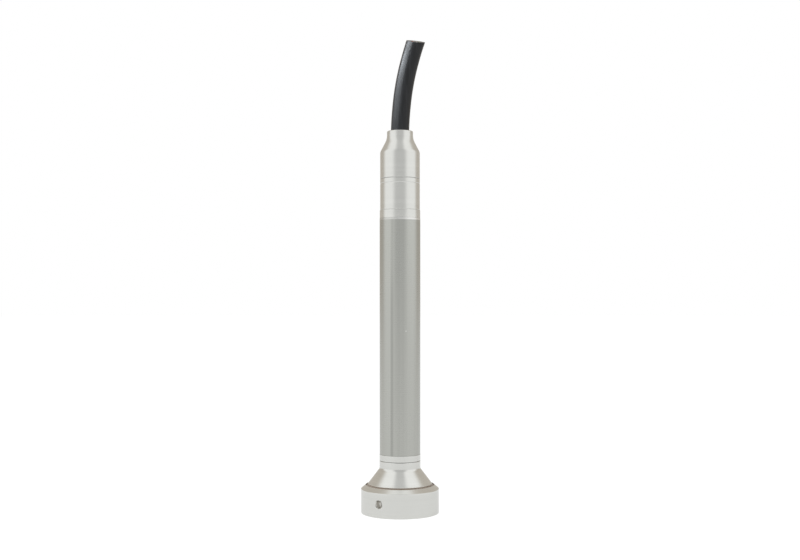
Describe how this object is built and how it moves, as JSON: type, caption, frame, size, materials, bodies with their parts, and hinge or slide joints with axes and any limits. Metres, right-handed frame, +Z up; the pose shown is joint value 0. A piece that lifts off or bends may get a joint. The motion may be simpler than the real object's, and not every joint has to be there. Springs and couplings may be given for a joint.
{
  "type": "submersible level transmitter",
  "caption": "Slim stainless submersible level transmitter with a flared base, a screwed guard ring round its pressure diaphragm, and a stub of black cable out of its tapered top.",
  "frame": {"origin": "centre of the guard ring's underside, on the housing's axis", "axes": "+Z up the housing from the guard ring to the cable, -Y towards the viewer, +X the side that the cable leans to"},
  "size_m": [0.0408, 0.0408, 0.2484],
  "materials": {
    "turned_steel": "bright fine-turned",
    "ground_tube": "satin ground",
    "polished_steel": "polished",
    "foil": "rolled foil",
    "brass": "turned",
    "seal_rubber": "matte",
    "cable_jacket": "satin",
    "slip_plastic": "matte",
    "alumina": "matte",
    "carrier_plastic": "moulded",
    "board_green": "lacquered",
    "chip_moulding": "moulded",
    "trimmer_blue": "moulded",
    "capacitor_can": "drawn",
    "arrestor_ceramic": "glazed",
    "ferrite": "sintered",
    "white_plastic": "moulded",
    "red_insulation": "extruded",
    "black_insulation": "extruded",
    "green_insulation": "extruded",
    "vent_nylon": "translucent"
  },
  "bodies": {
    "root": {"guard_ring": "turned_steel", "slip_ring": "slip_plastic", "diaphragm": "foil", "face_seal": "seal_rubber", "bell": "turned_steel", "fill_ball": "polished_steel", "fill_screw": "polished_steel", "sensor_cell": "polished_steel", "cell_seal": "seal_rubber", "clamp_ring": "brass", "ceramic_board": "alumina", "lower_collar": "turned_steel", "neck_seal": "seal_rubber", "lower_tube_seal": "seal_rubber", "housing_tube": "ground_tube", "upper_adaptor": "turned_steel", "upper_tube_seal": "seal_rubber", "adaptor_seal": "seal_rubber", "gland_body": "turned_steel", "strain_crimp": "polished_steel", "seal_grommet": "seal_rubber", "grommet_washer": "brass", "nose_cap": "turned_steel", "cable": "cable_jacket", "core_supply": "red_insulation", "core_return": "black_insulation", "core_earth": "green_insulation", "vent_tube": "vent_nylon", "circuit_board": "board_green", "lower_carrier": "carrier_plastic", "upper_carrier": "carrier_plastic", "sensor_connector": "white_plastic", "terminal_block": "green_insulation", "amplifier": "chip_moulding", "loop_driver": "chip_moulding", "zero_trimmer": "trimmer_blue", "span_trimmer": "trimmer_blue", "capacitor": "capacitor_can", "surge_arrestor_1": "arrestor_ceramic", "surge_arrestor_2": "arrestor_ceramic", "choke": "ferrite", "pass_transistor": "chip_moulding", "sensor_lead_1": "red_insulation", "sensor_lead_2": "black_insulation", "sensor_lead_3": "green_insulation", "sensor_lead_4": "white_plastic"}
  },
  "joints": []
}
